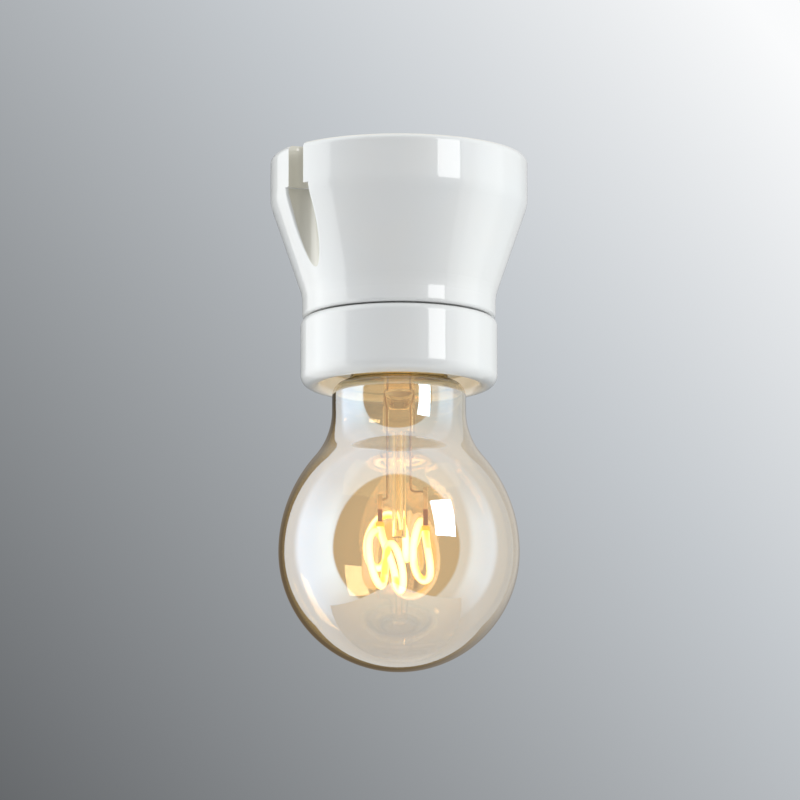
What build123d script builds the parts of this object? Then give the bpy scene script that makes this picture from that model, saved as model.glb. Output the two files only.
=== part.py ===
# Porcelain batten lamp holder with its clear spiral filament lamp, in millimetres.
# The origin is the centre of the ceiling face. The holder hangs down from it along -Z,
# and its two mounting screw notches lie on the X axis.
from build123d import *

import os
from math import cos, pi, radians, sin, sqrt, tan

os.makedirs("parts", exist_ok=True)

# Clearances
running_gap = 0.3  # between pieces that move past each other
seat_gap = 0.05  # round a wire or a shank in its hole

# Porcelain base: a flared cup, open to the ceiling
base_radius = 32.2
base_wall_height = 11.8  # the upright wall before the taper starts
base_height = 40.7
neck_height = 5.7  # the straight neck below the taper
neck_wall = 2.9
base_rim_round = 1.5
base_foot_round = 0.9
base_bend_radius = 10.0  # where the wall meets the taper, and the taper the neck
base_wall = 5.2
shelf_depth = 14.0  # the step inside the base that the insert rests on

# Mounting screw notches, one on each side
screw_pitch = 60.0
shank_slot_width = 6.1
head_channel_width = 8.4
slot_plate = 10.5  # the porcelain that a screw's head bears on
notch_wall = 3.2
notch_lip_radius = 0.8  # the soft edge that the glaze leaves

# Threaded porcelain ring
ring_wall = 3.3
ring_height = 17.1
ring_top_round = 1.8
ring_lip_round_out = 3.0
ring_lip_round_in = 1.7
ring_lip_width = 4.8  # from the outside in to the mouth
ring_lip_height = 4.7

# Porcelain socket insert
insert_wall = 6.0
insert_flange = 4.5
insert_floor = 5.0
insert_mouth_chamfer = 0.6
insert_end_gap = 0.4  # above the ring's lip
shell_room_gap = 1.25  # between the insert's bore and the screw shell
socket_ceiling = 19.5  # the underside of the insert's floor
terminal_recess_radius = 17.5
barrier_thickness = 1.6

# Sheet metal of the socket
sheet = 0.5
shell_radius = 13.75
shell_length = 28.5
shell_flange_width = 4.35
shell_fixing_width = 2.65  # from the shell's outside in to its screw
contact_width = 5.0
contact_tail_length = 2.0  # beyond its screw
contact_bend_radius = 0.9
contact_slope_width = 1.0
contact_flat_y, contact_end_y = -3.4, -4.6  # where its low part turns up, and where it ends
contact_lift_height = 2.0
live_fixing_y = 4.4

# Terminal blocks, each with a fixing screw and a clamp screw
block_width = 8.0
block_depth = 11.0
block_height = 8.0
block_corner_radius = 0.8
screw_spacing = 5.8
wire_hole_radius = 1.6
clamp_depth = 0.4  # how far a clamp screw's end stands in the wire hole
shank_radius = 1.5
head_radius = 2.6
head_height = 1.8
screw_slot_width = 0.8
screw_slot_depth = 0.9
screw_slot_turn = 25.0
peened_radius = 2.1  # the spread lower end of a fixing screw
peened_height = 0.7

# Lamp: a 60 mm bulb on a 27 mm screw cap
bulb_radius = 30.0
bulb_centre = 99.6
shoulder_radius = 36.0  # the fuller arc above the bulb's widest place
saddle_radius = 18.0  # the hollow curve between shoulder and neck
glass_wall = 0.8
neck_step_width = 3.8  # how much wider the bulb's neck is than the cap
neck_bend_radius, neck_fold_radius = 4.0, 3.0
neck_straight_height = 3.6104  # of the bulb's neck, above the saddle
neck_end = 44.0
neck_shoulder_bottom = 53.6
thread_gap = 0.35  # between the cap and the screw shell
cement_gap = 0.7  # between the cap and the end of the bulb's neck
cap_wall = 0.5
cap_tip = 25.3
cap_contact_radius = 4.7
cap_contact_height = 1.2
cap_dome_height = 0.9
cap_eyelet_radius = 1.6
cap_top = 28.7
cap_shoulder_width = 3.3
cap_shoulder_bottom = 31.2
cap_rim_top = 50.0
cap_rim_width = 0.5  # how far the cap's bottom rim is flared out
cap_bottom = 52.7
insulator_thickness = 1.3
cement_top = 46.5

# The way round that the lamp stops when it is screwed home
lamp_turn = -37.0

# Glass stem
stem_radius = 3.9
stem_wall = 0.55
stem_bend_radius = 3.0
stem_flare_bottom = 54.0
tube_bottom = 60.0
press_taper_height = 4.0
press_height = 6.0
press_width = 8.2
press_thickness = 3.4
press_round = 1.2
arbor_radius = 1.75
arbor_bore_radius = 0.7
arbor_length = 26.0

# Lead wires and the filament's metal ends
lead_radius = 0.3
lead_x = 2.9
lead_bend_radius = 1.2
tab_width = 1.2
tab_thickness = 0.6
tab_corner_radius = 0.15
left_tab_x, left_tab_top, left_tab_bottom = -4.7, 85.3, 92.5
right_tab_x, right_tab_top, right_tab_bottom = 6.6, 83.4, 93.5
lead_below_tab_top = 1.2

# Spiral filament: loops wound round a tilted ring, a little wider apart toward its end
strand_radius = 0.95
coil_centre_depth = 99.6
coil_ring_radius = 6.3
coil_loop_height = 12.4
coil_loop_width = 7.4
coil_turns = 4.5
coil_front_angle = -4.0  # degrees round the ring, where the first loop stands
coil_pitch_angle = 44.0  # degrees from that loop to the next
coil_spread_angle = 7.5
coil_slant_angle = 33.0  # each loop's turn out of the ring's radius
coil_tilt = 0.8  # drop toward the front, for each mm
coil_points_per_turn = 8
coil_entry_length = 2.5  # straight strand at each end

# Driver inside the cap
board_thickness = 1.0
board_gap = 0.8  # between the board's edge and the cap
capacitor_radius = 3.2
capacitor_height = 8.5
capacitor_top_radius = 0.5  # the rounding of its closed end
capacitor_x, capacitor_edge_width = -0.5, 1.8  # across the board, and in from its edge
chip_size = (5.0, 4.0, 1.6)
chip_x, chip_edge_width = -4.5, 5.0
rectifier_size = (4.6, 3.8, 1.6)
rectifier_x, rectifier_edge_width = 4.0, 4.7
resistor_size = (3.2, 1.6, 0.8)
resistor_y, resistor_edge_width = 3.2, 4.2
component_chamfer = 0.15
cap_wire_radius = 0.35
cap_wire_edge_width = 2.6
cap_wire_height = 5.0
cap_wire_bend_radius = 1.5

# Sizes that follow the screw shell, from the lamp's cap out to the ring
cap_radius = shell_radius - sheet - thread_gap
cap_bore_radius = cap_radius - cap_wall
neck_end_radius = cap_bore_radius - cement_gap
neck_tube_radius = cap_radius + neck_step_width
insert_bore_radius = shell_radius + shell_room_gap
insert_radius = insert_bore_radius + insert_wall
bore_radius = insert_radius + running_gap
ring_radius = bore_radius + ring_wall

# Depths that follow the base's height
ring_top = base_height + running_gap
ring_bottom = ring_top + ring_height
insert_bottom = ring_bottom - ring_lip_height - insert_end_gap

# Directions of the lamp: across its press, and toward the side that the press faces
lamp_across = Vector(cos(radians(lamp_turn)), sin(radians(lamp_turn)), 0)
lamp_front = Vector(sin(radians(lamp_turn)), -cos(radians(lamp_turn)), 0)
lamp_plane = Plane(origin=(0, 0, 0), x_dir=lamp_across, z_dir=lamp_front)


def lamp_level(depth):
    """A level plane at this depth below the ceiling, turned with the lamp."""
    return Plane(origin=(0, 0, -depth), x_dir=lamp_across, z_dir=(0, 0, 1))


def finish(part, name):
    part.label = name
    export_step(part, f"parts/{name}.step")


# Porcelain base
notch_x = screw_pitch / 2
neck_radius = bore_radius + neck_wall
chamber_radius = base_radius - base_wall
pillar_radius = head_channel_width / 2 + notch_wall
with BuildPart() as porcelain_base:
    with BuildSketch(Plane.XZ):
        with BuildLine():
            outside = FilletPolyline(
                (0, 0),
                (base_radius, 0),
                (base_radius, -base_wall_height),
                (neck_radius, neck_height - base_height),
                (neck_radius, -base_height),
                (0, -base_height),
                radius=(base_rim_round, base_bend_radius, base_bend_radius, base_foot_round),
            )
            Line(outside @ 1, outside @ 0)
        make_face()
    revolve(axis=Axis.Z)
    # Terminal chamber, with a pillar of porcelain left round each screw notch
    with BuildSketch(Plane.XY):
        Circle(chamber_radius)
        with Locations((notch_x, 0), (-notch_x, 0)):
            Circle(pillar_radius, mode=Mode.SUBTRACT)
    extrude(amount=-shelf_depth, mode=Mode.SUBTRACT)
    with BuildSketch(Plane.XY):
        Circle(bore_radius)
    extrude(amount=-base_height, mode=Mode.SUBTRACT)
    # Shank slots, open to the side
    with BuildSketch(Plane.XY):
        for side in (1, -1):
            with Locations((side * notch_x, 0)):
                Circle(shank_slot_width / 2)
            with Locations((side * (notch_x + base_wall), 0)):
                Rectangle(2 * base_wall, shank_slot_width)
    extrude(amount=-slot_plate, mode=Mode.SUBTRACT)
    # Channels for the screws' heads and the driver, which run out in the taper
    with BuildSketch(Plane.XY.offset(-slot_plate)):
        for side in (1, -1):
            with Locations((side * notch_x, 0)):
                Circle(head_channel_width / 2)
            with Locations((side * (notch_x + base_wall), 0)):
                Rectangle(2 * base_wall, head_channel_width)
    extrude(amount=slot_plate - base_height, mode=Mode.SUBTRACT)
    below_plate = edges(Select.LAST).filter_by_position(Axis.Z, -base_height, -slot_plate, (True, False))
    fillet(below_plate.filter_by(GeomType.LINE, reverse=True), notch_lip_radius)
finish(porcelain_base.part, "porcelain_base")

# Porcelain socket insert: its flange is kept from turning by the two pillars
neutral_fixing_y = shell_fixing_width - shell_radius
neutral_block_edge = neutral_fixing_y + (screw_spacing + block_depth) / 2
live_block_edge = live_fixing_y + (screw_spacing - block_depth) / 2
barrier_y = (neutral_block_edge + live_block_edge) / 2  # halfway between the terminals
flange_top = shelf_depth - insert_flange
flange_radius = chamber_radius - running_gap
flange_flat = 2 * (notch_x - pillar_radius - running_gap)
with BuildPart() as socket_insert:
    with BuildSketch(Plane.XY.offset(-flange_top)):
        Circle(flange_radius)
        Rectangle(flange_flat, 2 * flange_radius, mode=Mode.INTERSECT)
    extrude(amount=-insert_flange)
    with BuildSketch(Plane.XY.offset(-flange_top)):
        Circle(insert_radius)
    extrude(amount=flange_top - insert_bottom)
    # Socket bore from below, terminal recess from above
    with BuildSketch(Plane.XY.offset(-insert_bottom)):
        Circle(insert_bore_radius)
    extrude(amount=insert_bottom - socket_ceiling, mode=Mode.SUBTRACT)
    recess_floor = socket_ceiling - insert_floor
    with BuildSketch(Plane.XY.offset(-recess_floor)):
        Circle(terminal_recess_radius)
        with Locations((0, barrier_y)):
            Rectangle(2 * terminal_recess_radius, barrier_thickness, mode=Mode.SUBTRACT)
    extrude(amount=recess_floor - flange_top, mode=Mode.SUBTRACT)
    # Holes for the fixing screws through the floor
    with BuildSketch(Plane.XY.offset(-recess_floor)):
        with Locations((0, live_fixing_y), (0, neutral_fixing_y)):
            Circle(shank_radius + seat_gap)
    extrude(amount=-insert_floor, mode=Mode.SUBTRACT)
    chamfer(edges().filter_by(GeomType.CIRCLE).group_by(Axis.Z)[0], insert_mouth_chamfer)
finish(socket_insert.part, "socket_insert")

# Screw shell: a drawn cup with a wide eye, hung from the screw in its flange
shell_bottom = socket_ceiling + shell_length
shell_eye_radius = shell_radius - shell_flange_width
with BuildPart() as screw_shell:
    with BuildSketch(Plane.XZ):
        with BuildLine():
            Polyline(
                (shell_eye_radius, -socket_ceiling),
                (shell_radius, -socket_ceiling),
                (shell_radius, -shell_bottom),
                (shell_radius - sheet, -shell_bottom),
                (shell_radius - sheet, -socket_ceiling - sheet),
                (shell_eye_radius, -socket_ceiling - sheet),
                close=True,
            )
        make_face()
    revolve(axis=Axis.Z)
    with BuildSketch(Plane.XY.offset(-socket_ceiling)):
        with Locations((0, neutral_fixing_y)):
            Circle(shank_radius + seat_gap)
    extrude(amount=-sheet, mode=Mode.SUBTRACT)
finish(screw_shell.part, "screw_shell")

# Centre contact: a strip that springs down from its screw to meet the lamp's tip
contact_low = cap_tip - running_gap
strip_mid = socket_ceiling + sheet / 2
slope_y = live_fixing_y - peened_radius - contact_bend_radius
with BuildPart() as centre_contact:
    with BuildSketch(Plane.YZ.offset(-contact_width / 2)):
        with BuildLine():
            strip_path = FilletPolyline(
                (live_fixing_y + contact_tail_length, -strip_mid),
                (slope_y, -strip_mid),
                (slope_y - contact_slope_width, -contact_low + sheet / 2),
                (contact_flat_y, -contact_low + sheet / 2),
                (contact_end_y, -contact_low + contact_lift_height),
                radius=contact_bend_radius,
            )
            offset(amount=sheet / 2, side=Side.BOTH)
        make_face()
    extrude(amount=contact_width)
    with BuildSketch(Plane.XY.offset(-socket_ceiling)):
        with Locations((0, live_fixing_y)):
            Circle(shank_radius + seat_gap)
    extrude(amount=-sheet, mode=Mode.SUBTRACT)
finish(centre_contact.part, "centre_contact")

# Terminal blocks: brass, with a cross hole for the conductor under the clamp screw
block_top = recess_floor - block_height
fixings = {"live": live_fixing_y, "neutral": neutral_fixing_y}
for wire, fixing_y in fixings.items():
    with BuildPart() as terminal:
        with BuildSketch(Plane.XY.offset(-recess_floor)):
            with Locations((0, fixing_y + screw_spacing / 2)):
                RectangleRounded(block_width, block_depth, block_corner_radius)
            with Locations((0, fixing_y)):
                Circle(shank_radius + seat_gap, mode=Mode.SUBTRACT)
        extrude(amount=block_height)
        with BuildSketch(Plane.XY.offset(-block_top)):
            with Locations((0, fixing_y + screw_spacing)):
                Circle(shank_radius + seat_gap)
        extrude(amount=-block_height / 2, mode=Mode.SUBTRACT)
        with BuildSketch(Plane.YZ):
            with Locations((fixing_y + screw_spacing, -recess_floor + block_height / 2)):
                Circle(wire_hole_radius)
        extrude(amount=block_width / 2, both=True, mode=Mode.SUBTRACT)
    finish(terminal.part, f"{wire}_terminal")


# Fixing screws: each passes through block and porcelain and is peened under the sheet metal
peened = peened_radius - shank_radius
clamp_end = block_top + block_height / 2 - wire_hole_radius + clamp_depth
screws = {
    "fixing_screws": (0, socket_ceiling + sheet, peened),
    "clamp_screws": (screw_spacing, clamp_end, 0),
}
for name, (along, shank_bottom, spread) in screws.items():
    with BuildPart() as screw_pair:
        for fixing_y in fixings.values():
            y = fixing_y + along
            with BuildSketch(Plane.XZ.offset(-y)):
                with BuildLine():
                    points = [
                        (0, -block_top + head_height),
                        (head_radius, -block_top + head_height),
                        (head_radius, -block_top),
                        (shank_radius, -block_top),
                        (shank_radius, -shank_bottom),
                    ]
                    if spread:
                        points.append((shank_radius + spread, -shank_bottom))
                        points.append((shank_radius + spread, -shank_bottom - peened_height))
                        points.append((0, -shank_bottom - peened_height))
                    else:
                        points.append((0, -shank_bottom))
                    Polyline(points, close=True)
                make_face()
            revolve(axis=Axis((0, y, 0), (0, 0, 1)))
            with BuildSketch(Plane.XY.offset(-block_top + head_height)):
                with Locations((0, y)):
                    Rectangle(2 * head_radius, screw_slot_width, rotation=screw_slot_turn)
            extrude(amount=-screw_slot_depth, mode=Mode.SUBTRACT)
    finish(screw_pair.part, name)

# Porcelain ring: a nut with a rolled lip, turned up the insert against the base
ring_mouth_radius = ring_radius - ring_lip_width
with BuildPart() as porcelain_ring:
    with BuildSketch(Plane.XZ):
        with BuildLine():
            section = FilletPolyline(
                (bore_radius, -ring_top),
                (ring_radius, -ring_top),
                (ring_radius, -ring_bottom),
                (ring_mouth_radius, -ring_bottom),
                (ring_mouth_radius, -ring_bottom + ring_lip_height),
                (bore_radius, -ring_bottom + ring_lip_height),
                radius=(ring_top_round, ring_lip_round_out, ring_lip_round_in, 0),
            )
            Line(section @ 1, section @ 0)
        make_face()
    revolve(axis=Axis.Z)
finish(porcelain_ring.part, "porcelain_ring")

# Screw cap of the lamp: shell, black glass insulator and tip contact
insulator_bottom = cap_top + insulator_thickness
cap_top_radius = cap_radius - cap_shoulder_width
cap_rim_radius = cap_radius + cap_rim_width
with BuildPart() as cap_shell:
    with BuildSketch(Plane.XZ):
        with BuildLine():
            Polyline(
                (cap_top_radius, -cap_top),
                (cap_radius, -cap_shoulder_bottom),
                (cap_radius, -cap_rim_top),
                (cap_rim_radius, -cap_bottom),
                (cap_rim_radius - cap_wall, -cap_bottom),
                (cap_bore_radius, -cap_rim_top),
                (cap_bore_radius, -cap_shoulder_bottom),
                (cap_top_radius, -insulator_bottom),
                close=True,
            )
        make_face()
    revolve(axis=Axis.Z)
finish(cap_shell.part, "cap_shell")

with BuildPart() as cap_insulator:
    with BuildSketch(Plane.XZ):
        with BuildLine():
            Polyline(
                (cap_eyelet_radius + seat_gap, -cap_tip - cap_contact_height - seat_gap),
                (cap_contact_radius, -cap_tip - cap_contact_height - seat_gap),
                (cap_top_radius, -cap_top),
                (cap_top_radius, -insulator_bottom),
                (cap_eyelet_radius + seat_gap, -insulator_bottom),
                close=True,
            )
        make_face()
    revolve(axis=Axis.Z)
finish(cap_insulator.part, "cap_insulator")

cap_dome_radius = (cap_contact_radius**2 + cap_dome_height**2) / (2 * cap_dome_height)
with BuildPart() as cap_contact:
    with BuildSketch(Plane.XZ):
        with BuildLine():
            dome = RadiusArc((0, -cap_tip), (cap_contact_radius, -cap_tip - cap_dome_height), cap_dome_radius)
            Polyline(
                dome @ 1,
                (cap_contact_radius, -cap_tip - cap_contact_height),
                (cap_eyelet_radius, -cap_tip - cap_contact_height),
                (cap_eyelet_radius, -insulator_bottom),
                (0, -insulator_bottom),
                dome @ 0,
            )
        make_face()
    revolve(axis=Axis.Z)
finish(cap_contact.part, "cap_contact")


def bulb_outline(inset):
    """Half outline of the bulb, set in by this much, from its lowest point up to the neck's end."""
    ball, shoulder, saddle = bulb_radius - inset, shoulder_radius - inset, saddle_radius + inset
    shoulder_x = bulb_radius - shoulder_radius
    saddle_x = neck_tube_radius + saddle_radius
    reach = shoulder_radius + saddle_radius
    saddle_z = -bulb_centre + sqrt(reach**2 - (saddle_x - shoulder_x) ** 2)
    share = shoulder / reach
    crossing = (
        shoulder_x + share * (saddle_x - shoulder_x),
        -bulb_centre + share * (saddle_z + bulb_centre),
    )
    bowl = RadiusArc((0, -bulb_centre - ball), (ball, -bulb_centre), -ball)
    cheek = RadiusArc(bowl @ 1, crossing, -shoulder)
    waist = RadiusArc(cheek @ 1, (saddle_x - saddle, saddle_z), saddle)
    neck = FilletPolyline(
        waist @ 1,
        (neck_tube_radius - inset, saddle_z + neck_straight_height),
        (neck_end_radius - inset, -neck_shoulder_bottom),
        (neck_end_radius - inset, -neck_end),
        radius=(neck_bend_radius, neck_fold_radius),
    )
    return bowl @ 0, neck @ 1


# Glass envelope: blown in one piece, its neck set in the cap
with BuildPart() as glass_envelope:
    with BuildSketch(lamp_plane):
        with BuildLine():
            bottom, top = bulb_outline(0)
            Polyline(top, (0, -neck_end), bottom)
        make_face()
        with BuildLine():
            bottom, top = bulb_outline(glass_wall)
            Polyline(top, (0, -neck_end), bottom)
        make_face(mode=Mode.SUBTRACT)
    revolve(axis=Axis.Z)
finish(glass_envelope.part, "glass_envelope")

with BuildPart() as basing_cement:
    with BuildSketch(Plane.XY.offset(-cement_top)):
        Circle(cap_bore_radius)
        Circle(neck_end_radius, mode=Mode.SUBTRACT)
    extrude(amount=cement_top - cap_rim_top)
finish(basing_cement.part, "basing_cement")

# Glass stem: flare, tube, flattened press with the wires sealed in, and a hollow arbor
flare_radius = neck_end_radius - glass_wall
press_top = tube_bottom + press_taper_height
press_bottom = press_top + press_height
arbor_bottom = press_bottom + arbor_length
with BuildPart() as glass_stem:
    with BuildSketch(lamp_plane):
        with BuildLine():
            tube_outside = FilletPolyline(
                (flare_radius, -neck_end),
                (flare_radius, -neck_end - stem_wall),
                (stem_radius, -stem_flare_bottom),
                (stem_radius, -tube_bottom),
                radius=(0, stem_bend_radius),
            )
            tube_inside = FilletPolyline(
                (0, -tube_bottom),
                (0, -tube_bottom + stem_wall),
                (stem_radius - stem_wall, -tube_bottom + stem_wall),
                (stem_radius - stem_wall, -stem_flare_bottom + stem_wall),
                (flare_radius - stem_wall, -neck_end),
                radius=(0, stem_wall, stem_bend_radius),
            )
            Line(tube_outside @ 1, tube_inside @ 0)
            Line(tube_inside @ 1, tube_outside @ 0)
        make_face()
    revolve(axis=Axis.Z)
    with BuildSketch(lamp_level(tube_bottom)):
        Circle(stem_radius)
    with BuildSketch(lamp_level(press_top)):
        RectangleRounded(press_width, press_thickness, press_round)
    loft()
    with BuildSketch(lamp_level(press_top)):
        RectangleRounded(press_width, press_thickness, press_round)
    extrude(amount=press_top - press_bottom)
    with BuildSketch(lamp_level(press_bottom)):
        Circle(arbor_radius)
    extrude(amount=press_bottom - arbor_bottom)
    with BuildSketch(lamp_level(press_bottom)):
        Circle(arbor_bore_radius)
    extrude(amount=press_bottom - arbor_bottom + arbor_radius, mode=Mode.SUBTRACT)
    with BuildSketch(lamp_level(tube_bottom - stem_wall)):
        with Locations((lead_x, 0), (-lead_x, 0)):
            Circle(lead_radius + seat_gap)
    extrude(amount=tube_bottom - stem_wall - press_bottom, mode=Mode.SUBTRACT)
finish(glass_stem.part, "glass_stem")

# Lead wires: down through the press, then out to the side of their tabs
board_bottom = neck_end
board_top = board_bottom - board_thickness
tabs = {
    "left": (left_tab_x, left_tab_top, left_tab_bottom),
    "right": (right_tab_x, right_tab_top, right_tab_bottom),
}
for side, (tab_x, tab_top, tab_bottom) in tabs.items():
    way = 1 if tab_x > 0 else -1
    with BuildPart() as lead:
        with BuildLine(lamp_plane):
            joined = tab_top + lead_below_tab_top
            wire_path = FilletPolyline(
                (way * lead_x, -board_top),
                (way * lead_x, -joined),
                (tab_x - way * tab_width / 2, -joined),
                radius=min(lead_bend_radius, 0.8 * (abs(tab_x) - lead_x - tab_width / 2)),
            )
        with BuildSketch(lamp_level(board_top)):
            with Locations((way * lead_x, 0)):
                Circle(lead_radius)
        sweep(path=wire_path)
    finish(lead.part, f"lead_{side}")

    with BuildPart() as tab:
        with BuildSketch(lamp_level(tab_top)):
            with Locations((tab_x, 0)):
                RectangleRounded(tab_width, tab_thickness, tab_corner_radius)
        extrude(amount=tab_top - tab_bottom)
    finish(tab.part, f"filament_tab_{side}")


def coil_point(turns):
    """A point of the filament's middle line: across the lamp, toward its front, and up."""
    loop = pi + 2 * pi * turns
    passed = turns - 0.25
    around = radians(coil_front_angle + coil_pitch_angle * passed + coil_spread_angle * passed**2)
    slanted = around - radians(coil_slant_angle)
    out = coil_loop_width / 2 * cos(loop)
    forward = coil_ring_radius * cos(around)
    level = coil_loop_height / 2 * sin(loop) - coil_tilt * forward - coil_centre_depth
    return -coil_ring_radius * sin(around) - out * sin(slanted), forward + out * cos(slanted), level


# Filament: one flexible glowing strand from tab to tab
steps = round(coil_turns * coil_points_per_turn)
left_end = (left_tab_x, 0, -left_tab_bottom)
right_end = (right_tab_x, 0, -right_tab_bottom)
strand_points = [left_end, (left_end[0], 0, left_end[2] - coil_entry_length)]
strand_points += [coil_point(step / coil_points_per_turn) for step in range(steps + 1)]
strand_points += [(right_end[0], 0, right_end[2] - coil_entry_length), right_end]
lamp_up = Vector(0, 0, 1)
strand_points = [
    lamp_across * across + lamp_front * forward + lamp_up * up for across, forward, up in strand_points
]


def bend_radii(points):
    """The largest comfortable arc at each inner point of a route."""
    radii = []
    for before, here, after in zip(points, points[1:], points[2:]):
        run = min((here - before).length, (after - here).length)
        turn = radians((here - before).get_angle(after - here))
        radii.append(0.45 * run / tan(turn / 2))
    return radii


strand_radii = bend_radii(strand_points)
print("smallest filament bend", round(min(strand_radii), 2))
with BuildPart() as filament:
    with BuildLine():
        strand_path = FilletPolyline(strand_points, radius=strand_radii)
    with BuildSketch(Plane(origin=strand_path @ 0, z_dir=strand_path % 0)):
        Circle(strand_radius)
    sweep(path=strand_path)
finish(filament.part, "filament")

# Driver: a round board on the neck's end, with its parts above it
board_radius = cap_bore_radius - board_gap
capacitor_y = board_radius - capacitor_edge_width - capacitor_radius
with BuildPart() as driver_board:
    with BuildSketch(lamp_level(board_bottom)):
        Circle(board_radius)
        with Locations((lead_x, 0), (-lead_x, 0)):
            Circle(lead_radius + seat_gap, mode=Mode.SUBTRACT)
    extrude(amount=board_thickness)
finish(driver_board.part, "driver_board")

with BuildPart() as smoothing_capacitor:
    with BuildSketch(lamp_level(board_top)):
        with Locations((capacitor_x, capacitor_y)):
            Circle(capacitor_radius)
    extrude(amount=capacitor_height)
    fillet(smoothing_capacitor.faces().sort_by(Axis.Z)[-1].edges(), capacitor_top_radius)
finish(smoothing_capacitor.part, "smoothing_capacitor")

chip_y = chip_edge_width + chip_size[1] / 2 - board_radius
rectifier_y = rectifier_edge_width + rectifier_size[1] / 2 - board_radius
resistor_x = board_radius - resistor_edge_width
board_parts = {
    "driver_chip": (chip_size, (chip_x, chip_y)),
    "bridge_rectifier": (rectifier_size, (rectifier_x, rectifier_y)),
    "fuse_resistor": (resistor_size, (resistor_x, resistor_y)),
}
for name, ((length, width, height), place) in board_parts.items():
    with BuildPart() as component:
        with BuildSketch(lamp_level(board_top)):
            with Locations(place):
                Rectangle(length, width)
        extrude(amount=height)
        chamfer(component.faces().sort_by(Axis.Z)[-1].edges(), component_chamfer)
    finish(component.part, name)

# Wires from the board up to the tip contact, and across to the cap shell
with BuildPart() as live_wire:
    with BuildSketch(lamp_level(board_top)):
        Circle(cap_wire_radius)
    extrude(amount=board_top - insulator_bottom - running_gap)
finish(live_wire.part, "live_wire")

cap_wire_x = board_radius - cap_wire_edge_width
with BuildPart() as neutral_wire:
    with BuildLine(lamp_plane):
        neutral_path = FilletPolyline(
            (cap_wire_x, -board_top),
            (cap_wire_x, -board_top + cap_wire_height),
            (cap_bore_radius, -board_top + cap_wire_height),
            radius=cap_wire_bend_radius,
        )
    with BuildSketch(lamp_level(board_top)):
        with Locations((cap_wire_x, 0)):
            Circle(cap_wire_radius)
    sweep(path=neutral_path)
finish(neutral_wire.part, "neutral_wire")
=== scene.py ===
# %% [markdown]
# # A porcelain lamp holder with a spiral filament lamp
#
# The holder hangs from the ceiling: a flared porcelain base, a porcelain insert inside it that carries
# the brass parts, and a porcelain ring turned up below. A clear lamp with an amber tint is screwed into
# it, and a glowing strand winds round the lamp's glass stem.
#
# The solids come in at their real size and place. This lesson gives each one its finish, makes anew the
# ones that need finer curves than a solid model has, and sets up a small photo studio round them.

# %% Load the solids, and a way to read one solid's box
from math import asin, atan2, cos, degrees, pi, radians, sin, sqrt, tau

import bmesh
import bpy
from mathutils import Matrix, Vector


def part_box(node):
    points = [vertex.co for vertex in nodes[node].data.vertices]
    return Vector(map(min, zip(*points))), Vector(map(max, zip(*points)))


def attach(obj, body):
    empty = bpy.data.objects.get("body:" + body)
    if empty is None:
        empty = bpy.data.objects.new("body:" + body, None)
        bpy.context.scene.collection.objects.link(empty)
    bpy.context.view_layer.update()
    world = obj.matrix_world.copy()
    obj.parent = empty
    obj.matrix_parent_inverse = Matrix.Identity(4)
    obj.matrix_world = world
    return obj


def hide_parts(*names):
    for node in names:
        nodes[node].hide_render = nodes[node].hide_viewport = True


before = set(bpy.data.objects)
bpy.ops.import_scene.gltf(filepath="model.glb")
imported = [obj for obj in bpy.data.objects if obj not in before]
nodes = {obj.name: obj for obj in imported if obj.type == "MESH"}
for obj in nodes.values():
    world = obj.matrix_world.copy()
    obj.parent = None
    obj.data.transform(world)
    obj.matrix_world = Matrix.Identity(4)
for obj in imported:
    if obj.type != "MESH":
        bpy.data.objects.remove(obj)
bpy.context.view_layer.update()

MM = 0.001

# %% [markdown]
# ## Helpers for turned pieces
#
# Porcelain, glass and sheet brass parts of a lamp are all round: they are jiggered, blown or drawn on
# a turning mould. So most new pieces here start as half a section in the XZ plane, with x as the
# radius, and are spun once round Z. The section itself is drawn with operators too: a point is
# extruded for a straight run, or spun about a centre for an arc. That keeps every arc a true arc,
# which matters on glass, where the eye sees the smallest kink in a reflection.


# %% Draw half a section
def begin(radius, height):
    """Start a section at this radius and height, and return its mesh and its end point."""
    section = bmesh.new()
    return section, section.verts.new((radius, 0, height))


def run(section, end, radius, height, steps):
    """Carry the section straight on from its end point, in equal steps."""
    start = end.co.copy()
    goal = Vector((radius, 0, height))
    for step in range(1, steps + 1):
        end = bmesh.ops.extrude_vert_indiv(section, verts=[end])["verts"][0]
        end.co = start.lerp(goal, step / steps)
    return end


def bend(section, end, centre, angle, steps):
    """Carry the section on round an arc; a positive angle turns anticlockwise as the section is drawn."""
    made = bmesh.ops.spin(
        section,
        geom=[end],
        cent=(centre[0], 0, centre[1]),
        axis=(0, -1, 0),
        angle=radians(angle),
        steps=steps,
        use_merge=False,
        use_duplicate=False,
    )
    return next(item for item in made["geom_last"] if isinstance(item, bmesh.types.BMVert))


# %% Spin a section and turn the result into an object
def spin_round(section, steps):
    """Spin the drawn section once round Z and close its seam and poles."""
    bmesh.ops.spin(
        section,
        geom=section.verts[:] + section.edges[:],
        cent=(0, 0, 0),
        axis=(0, 0, 1),
        angle=tau,
        steps=steps,
        use_merge=True,
        use_duplicate=False,
    )
    bmesh.ops.remove_doubles(section, verts=section.verts, dist=MM / 1000)
    bmesh.ops.recalc_face_normals(section, faces=section.faces)


def make_piece(shape, name, body, material, *stands_for):
    """Make an object of a finished shape, let it ride on a body and stand for these solids."""
    mesh = bpy.data.meshes.new(name)
    shape.to_mesh(mesh)
    shape.free()
    mesh.shade_smooth()
    mesh.materials.append(material)
    piece = bpy.data.objects.new(name, mesh)
    bpy.context.scene.collection.objects.link(piece)
    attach(piece, body)
    if stands_for:
        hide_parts(*stands_for)
    print(name, "faces:", len(mesh.polygons))
    return piece


def thicken(piece, thickness, side):
    """Give a skin its wall with Solidify; side -1 lets it grow inwards and 1 outwards."""
    wall = piece.modifiers.new("wall", "SOLIDIFY")
    wall.thickness = thickness
    wall.offset = side
    return wall


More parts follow.
